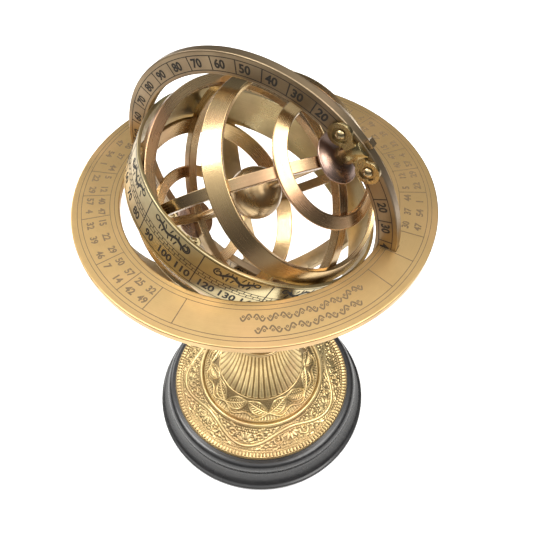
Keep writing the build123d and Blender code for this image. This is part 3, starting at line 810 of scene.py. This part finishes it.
flange_r = box_mm("pedestal")[1].x
foot_z = base_top + 0.8
ridge_low, ridge_high = (36.4, 27.6), (33.8, 29.0)
leaf_top = (23.4, 38.0)
neck = (11.2, collar_low.z)
rim_curves = [
    ((-0.5, -0.75), (0, -0.7), (0, 0), (-0.2, 0.4), 5),
    ((-0.2, 0.4), (-0.6, 1.1), (-1.1, 1.0), (-1.5, 0.7), 5),
]
rim = profile(flange_r, foot_z, rim_curves)
scrolls = bezier((flange_r - 1.5, foot_z + 0.7), (45.0, 21.5), (40.8, 24.3), ridge_low, 74)
torus = [*bezier(ridge_low, (36.0, 28.9), (34.9, 29.7), ridge_high, 8), np.array(ridge_high)]
embossed("pedestal_foot", [*rim, *scrolls, *torus], scroll_relief, 0.6, 920)
leaves = [*bezier(ridge_high, (28.95, 30.2), (25.97, 33.7), leaf_top, 84), np.array(leaf_top)]
embossed("pedestal_leaves", leaves, leaf_relief, 0.6, 1008)
flutes = [*bezier(leaf_top, (16.8, 46.8), (12.5, 56.3), neck, 110), np.array(neck)]
embossed("pedestal_flutes", flutes, flute_relief, 0.85, 720)

# ---- neck collar and turned stem -----------------------------------------------------------------
rod_bore_r = 3.1
collar_r = collar_high.x
low, high = collar_low.z, collar_high.z
collar_curves = [
    ((11.8, 0.2), (11.6, 2.4), (13.4, 2.9), (14.6, 3.2), 10),
    ((14.6, 3.2), (collar_r - 0.3, 3.3), (collar_r, 3.9), (collar_r, 4.5), 8),
    ((collar_r, 4.5), (collar_r, 5.3), (collar_r - 0.5, 5.8), (14.6, 5.8), 8),
    ((14.6, 5.8), (13.6, 5.9), (12.9, 6.0), (12.6, high - low), 6),
]
collar_section = [
    (rod_bore_r, low),
    (11.6, low),
    *profile(0, low, collar_curves),
    (12.4, high),
    (rod_bore_r, high),
]
turned("collar", collar_section, upright, 160, turned_brass, "stand", "neck_collar")

low, high = stem_low.z, stem_high.z
stem_curves = [
    ((11.0, 0), (12.6, 0), (12.6, 3.0), (11.0, 3.0), 12),
    ((11.0, 3.0), (10.0, 3.2), (9.2, 3.2), (8.6, 3.6), 4),
    ((8.6, 3.6), (5.4, 7.0), (6.0, 11.0), (7.6, 14.0), 12),
    ((7.6, 14.0), (9.6, 17.6), (9.2, 21.0), (6.6, 23.5), 12),
    ((6.6, 23.5), (9.9, 23.6), (9.9, 26.9), (6.8, 27.0), 10),
    ((6.8, 27.0), (7.4, 28.0), (8.4, 28.6), (9.0, high - low), 4),
]
stem_section = [
    (rod_bore_r, low),
    *profile(0, low, stem_curves),
    (8.9, high),
    (rod_bore_r, high),
]
turned("turned_stem", stem_section, upright, 160, turned_brass, "stand", "stem")

# ---- horizon ring and its engraving --------------------------------------------------------------
horizon_middle = (horizon_low.z + horizon_high.z) / 2
horizon_corners = rectangle(horizon_inner_r, horizon_outer_r, horizon_low.z, horizon_high.z)
horizon = turned(
    "horizon_plate",
    soften(horizon_corners, 0.45),
    upright,
    384,
    horizon_brass,
    "stand",
    "horizon_ring",
)
notch_gap = 0.1
notch_size = (2 * (meridian_outer_r + notch_gap), 2 * (meridian_face + notch_gap), 8)
cut(horizon, [block(notch_size, (0, 0, horizon_middle))])

outer_line, inner_line = horizon_outer_r - 4.0, horizon_inner_r + 3.5
middle_r = (outer_line + inner_line) / 2
half_band = (outer_line - inner_line) / 2


def on_horizon(turn0):
    """Flat x runs counterclockwise seen from above, and y runs inward."""

    def place(x, y, level):
        return upright.point(middle_r - y, turn0 + x / middle_r, horizon_high.z + level)

    return place


class RingEngraving:
    """Engraving laid out in cells round a ring."""

    def __init__(self, place):
        self.place = place
        self.points = []
        self.faces = []

    def put(self, engraving, *where):
        flat = np.array(engraving.points)
        level = np.where(flat[:, 2] > 0.5, engraving.depth, -engraving.depth)
        start = len(self.points)
        self.points.extend(self.place(*where)(flat[:, 0], flat[:, 1], level).tolist())
        self.faces.extend(tuple(start + corner for corner in face) for face in engraving.faces)

    def made(self, name, material, body):
        mesh = bpy.data.meshes.new(name)
        mesh.from_pydata(self.points, [], self.faces)
        work = bmesh.new()
        work.from_mesh(mesh)
        bmesh.ops.recalc_face_normals(work, faces=work.faces)
        work.to_mesh(mesh)
        work.free()
        piece(name, mesh, material, body)


def arc(engraving, x0, x1, y, width):
    """Line along the ring, with enough points to bend."""
    engraving.line(x0, y, x1, y, width, max(3, int(abs(x1 - x0))))


# The two inner circles stop at the notches, and the two outer ones go past them.
horizon_marks = RingEngraving(on_horizon)
circles = Engraving()
notch_x = math.asin((meridian_face + 0.3) / inner_line) * middle_r
for y, width, end in (
    (half_band + 1.7, 0.22, notch_x),
    (half_band, 0.22, notch_x),
    (-half_band, 0.26, 0.0),
    (-half_band - 1.5, 0.22, 0.0),
):
    for first in (end, math.pi * middle_r + end):
        arc(circles, first, first + math.pi * middle_r - 2 * end, y, width)
horizon_marks.put(circles, 0.0)

# Number cells fill the ring except for a plain stretch in front, which has an ornament. Dividers
# and numbers stay clear of the notches.
first_divider, last_divider = math.radians(276.5), math.radians(-20)
plain_cell, number_cells = 10.0, [10.8, 12.0, 20.2]
notch_sine = 0.16
number_rows, number_height = (0.9, -3.6), 2.7
divider = Engraving()
divider.line(0, -half_band, 0, half_band, 0.34)
turn = first_divider
horizon_marks.put(divider, turn)
for count, size in enumerate([plain_cell] + number_cells * 7):
    turn -= math.radians(size)
    if turn < last_divider:
        break
    if abs(math.sin(turn)) * inner_line > meridian_face + 0.4:
        horizon_marks.put(divider, turn)
    width = math.radians(size) * middle_r
    if count > 0 and abs(math.sin(turn + math.radians(size / 2))) > notch_sine:
        cell = Engraving()
        columns = 2 if size < 15 else 3
        for row, y in enumerate(number_rows):
            for k in range(columns):
                value = (17 * (5 * count + row) + 7 * k) % 60
                cell.numeral(str(value), width / columns * (k + 0.5) - 1.5, y, number_height)
        horizon_marks.put(cell, turn)

ornament = Engraving()
ornament_turn, ornament_length = math.radians(296), math.radians(42) * middle_r
wave_length, wave_height, wave_pitch = 3.9, 1.35, 4.6
bud_r, bud_turns = 0.38, np.arange(8) / 8 * TAU
t = np.linspace(0, 1, 14)
for y, inset in ((2.2, 0), (-2.4, 5.0)):
    for k, x in enumerate(np.arange(inset, ornament_length - inset, wave_pitch)):
        rise = wave_height if k % 2 else -wave_height
        ornament.stroke(np.stack([x + wave_length * t, y + rise * np.sin(TAU * t)], -1), 0.58)
        for bud_x, lift in ((1.0, 0.35), (2.9, -0.35)):
            bud_y = y - lift * np.sign(rise)
            bud = np.stack([x + bud_x + bud_r * np.cos(bud_turns), bud_y + bud_r * np.sin(bud_turns)], -1)
            ornament.stroke(bud, 0.36, closed=True)
horizon_marks.put(ornament, ornament_turn)
horizon_marks.made("horizon_engraving", brown_fill, "stand")

# ---- meridian ring -------------------------------------------------------------------------------
meridian_corners = rectangle(meridian_inner_r, meridian_outer_r, -meridian_face, meridian_face)
meridian = turned(
    "meridian_hoop",
    soften(meridian_corners, 0.5),
    meridian_basis,
    384,
    meridian_brass,
    "meridian",
    "meridian_ring",
)
axis_bore_r, bore_reach = 1.3, 70.0
bore = revolved("cutter", rectangle(0.0, axis_bore_r, -bore_reach, bore_reach), equatorial, 32)
cut(meridian, [bpy.data.objects.new("cutter", bore)])

scale_inner, scale_outer = meridian_inner_r + 1.4, meridian_outer_r - 1.8
scale_middle = (scale_inner + scale_outer) / 2
half_scale = (scale_outer - scale_inner) / 2


def on_meridian(turn0):
    """Flat x runs clockwise seen from the front, and y runs outward."""

    def place(x, y, level):
        return meridian_basis.point(scale_middle + y, turn0 - x / scale_middle, meridian_face + level)

    return place


meridian_marks = RingEngraving(on_meridian)
degrees = np.arange(360) / 360 * TAU
circles = Engraving()
for y in (half_scale, -half_scale):
    circles.stroke([(x * scale_middle, y) for x in degrees], 0.28, closed=True)
meridian_marks.put(circles, 0.0)

# Degrees from the pole, each ten, left out where the straps cover them.
latitude_turn = math.atan2(pole.z, pole.x)
label_corner, label_height = (1.3, -1.65), 3.3
tick = Engraving()
tick.line(0, -half_scale, 0, half_scale, 0.42)
for k in range(36):
    turn = latitude_turn + math.radians(10 * k)
    tens = min(k % 18, 18 - k % 18)
    meridian_marks.put(tick, turn)
    if tens > 1:
        label = Engraving()
        label.numeral(str(10 * tens), *label_corner, label_height)
        meridian_marks.put(label, turn)
meridian_marks.made("meridian_scale", dark_fill, "meridian")

# ---- rings of the sphere -------------------------------------------------------------------------
colure_inner, colure_outer, colure_half = 41.7, 45.3, 2.0
colure_section = soften(rectangle(colure_inner, colure_outer, -colure_half, colure_half), 0.3)
for node, basis in colure_bases.items():
    turned(node + "_hoop", colure_section, basis, 256, ring_brass, "sphere", node)

equator_inner, equator_outer, equator_half = 43.4, 47.55, 1.8
equator_section = soften(rectangle(equator_inner, equator_outer, -equator_half, equator_half), 0.3)
turned("equator_hoop", equator_section, equatorial, 256, ring_brass, "sphere", "equator_ring")

tropic_latitude, tropic_width = math.radians(36.5), 7.1
polar_latitude, polar_width = math.radians(63.2), 4.9
hoop_thickness = 1.8


def dished_hoop(node, latitude, width):
    """Hoop about the polar axis whose strip lies along the sphere."""
    across = np.array((math.cos(latitude), math.sin(latitude)))
    along = np.array((-across[1], across[0])) * width / 2
    inner = across * (colure_outer - 0.1)
    outer = inner + across * hoop_thickness
    section = soften([inner - along, outer - along, outer + along, inner + along], 0.35)
    turned(node + "_hoop", section, equatorial, 256, hoop_brass, "sphere", node)


dished_hoop("tropic_of_cancer", tropic_latitude, tropic_width)
dished_hoop("arctic_circle", polar_latitude, polar_width)
dished_hoop("tropic_of_capricorn", -tropic_latitude, tropic_width)
dished_hoop("antarctic_circle", -polar_latitude, polar_width)

# ---- zodiac band ---------------------------------------------------------------------------------
zodiac_inner, zodiac_outer, zodiac_half = 47.5, 48.8, 8.9
zodiac_section = soften(rectangle(zodiac_inner, zodiac_outer, -zodiac_half, zodiac_half), 0.3)
turned(
    "zodiac_hoop",
    zodiac_section,
    zodiac_basis,
    320,
    zodiac_brass,
    "sphere",
    "zodiac_band",
)
upper_line, lower_line = zodiac_half - 0.8, -zodiac_half + 1.5


def on_zodiac(turn0):
    """Flat x runs round the band as azimuth does, and y runs to its north edge."""

    def place(x, y, level):
        return zodiac_basis.point(zodiac_outer + level, turn0 + x / zodiac_outer, y)

    return place


def cell_figure(cell, sign):
    """Generic flourish in a cell: an arched back, a curled tail and small feet, all made of curves."""
    t = np.linspace(0, 1, 40)
    middle = cell_width / 2
    hand = 1 if sign % 2 else -1
    arch = 0.7 + 0.2 * (sign % 3)
    back = 4.9 + arch * np.sin(TAU * 1.5 * t + 0.4 * sign)
    cell.stroke(np.stack([middle + hand * (-6.5 + 12.0 * t), back], -1), 1.1)
    turns = TAU * (1.3 + 0.15 * (sign % 4)) * t
    shrink = 1.75 - 1.2 * t
    tail_x = middle + hand * (6.3 + shrink * np.sin(turns))
    tail_y = 4.9 - 0.2 * arch + shrink * np.cos(turns)
    cell.stroke(np.stack([tail_x, tail_y], -1), 0.6)
    ring = np.arange(12) / 12 * TAU
    head_x = middle - hand * 7.6 + 1.0 * np.cos(ring)
    head_y = 5.0 + arch * math.sin(0.4 * sign) + 0.9 * np.sin(ring)
    cell.stroke(np.stack([head_x, head_y], -1), 0.55, closed=True)
    for k in range(6):
        x = middle + hand * (-5.6 + 2.0 * k)
        lean = 0.8 * math.sin(2.1 * k + sign)
        cell.line(x, 4.5, x + lean, 2.3 + 0.4 * (k % 2), 0.55)
        cell.line(x + 0.7, 5.4, x + 0.7 + lean, 7.4 - 0.5 * (k % 2), 0.5)


zodiac_marks = RingEngraving(on_zodiac)
circles = Engraving()
for y, width in ((upper_line, 0.3), (1.0, 0.26), (-0.3, 0.2), (-1.6, 0.26), (lower_line, 0.3)):
    circles.stroke([(x * zodiac_outer, y) for x in degrees], width, closed=True)
zodiac_marks.put(circles, 0.0)
cell_width = TAU / 12 * zodiac_outer
brick = cell_width / 10
degree_corner, degree_pitch, degree_height = (2.6, -6.2), 7.9, 3.5
for sign in range(12):
    cell = Engraving()
    cell.line(0, upper_line, 0, lower_line, 0.42)
    for k in range(10):
        cell.line(brick * k, 1.0, brick * k, -0.3, 0.3)
        cell.line(brick * (k + 0.5), -0.3, brick * (k + 0.5), -1.6, 0.3)
    cell_figure(cell, sign)
    for k in range(3):
        value = str((30 * sign + 10 * k) % 360)
        cell.numeral(value, degree_corner[0] + degree_pitch * k, degree_corner[1], degree_height)
    zodiac_marks.put(cell, math.radians(30 * sign))
zodiac_marks.made("zodiac_scale", dark_fill, "sphere")

# ---- axis, ball and pole caps --------------------------------------------------------------------
arc_turn = np.linspace(-math.pi / 2, math.pi / 2, 40)
ball_section = np.stack([ball_r * np.cos(arc_turn), ball_r * np.sin(arc_turn)], -1)
ball_section[[0, -1], 0] = 0
turned("ball", ball_section, equatorial, 96, ball_bronze, "sphere", "earth_ball")


cap_height = 2.3


def cap(name, node, hand):
    """Domed pole cap with a rolled rim."""
    cap_curves = [
        ((cap_r - 0.5, 0), (cap_r, 0), (cap_r, 0.9), (cap_r - 0.4, 0.9), 8),
        ((cap_r - 0.4, 0.9), (cap_r - 1.6, 1.2), (6.0, 2.2), (3.6, cap_height), 14),
    ]
    outline = [
        (0.0, colure_outer),
        (cap_r - 0.5, colure_outer),
        *profile(0, colure_outer, cap_curves),
        (3.4, colure_outer + cap_height),
        (0.0, colure_outer + cap_height),
    ]
    section = [(r, hand * h) for r, h in outline]
    turned(name, section, equatorial, 96, dark_bronze, "sphere", node)


cap("north_cap", "north_pole_cap", 1)
cap("south_cap", "south_pole_cap", -1)

# ---- CAD pieces that keep their own shape --------------------------------------------------------
cradle_arms = [f"cradle_arm_{k}" for k in range(1, 5)]
front_straps = ["north_front_strap", "south_front_strap"]
back_straps = ["north_back_strap", "south_back_strap"]
kept = {
    green_felt: ["base_felt"],
    steel: ["base_nut", "base_washer", "tie_rod"],
    cradle_brass: ["cradle_hub", *cradle_arms, "zodiac_spacers"],
    clamp_brass: [*front_straps, *back_straps, "north_pole_nut", "south_pole_nut"],
    rivet_brass: ["north_strap_rivets", "south_strap_rivets", "hub_screws", "horizon_screws"],
    rod_brass: ["polar_axis"],
}
rounded = {
    "cradle_hub": 0.35,
    **dict.fromkeys(cradle_arms, 0.3),
    **dict.fromkeys(front_straps, 0.25),
    **dict.fromkeys(back_straps, 0.2),
}
for material, names in kept.items():
    for name in names:
        node = frame["nodes"][name]
        node.data.materials.clear()
        node.data.materials.append(material)
        if name in rounded:
            weld = node.modifiers.new("weld", "WELD")
            weld.merge_threshold = 1e-6
            flat = node.modifiers.new("flat", "DECIMATE")
            flat.decimate_type = "DISSOLVE"
            flat.angle_limit = math.radians(1.0)
            edges = node.modifiers.new("edges", "BEVEL")
            edges.width = rounded[name] * MM
            edges.segments = 3
            edges.limit_method = "ANGLE"
            edges.angle_limit = math.radians(50.0)
            edges.harden_normals = True
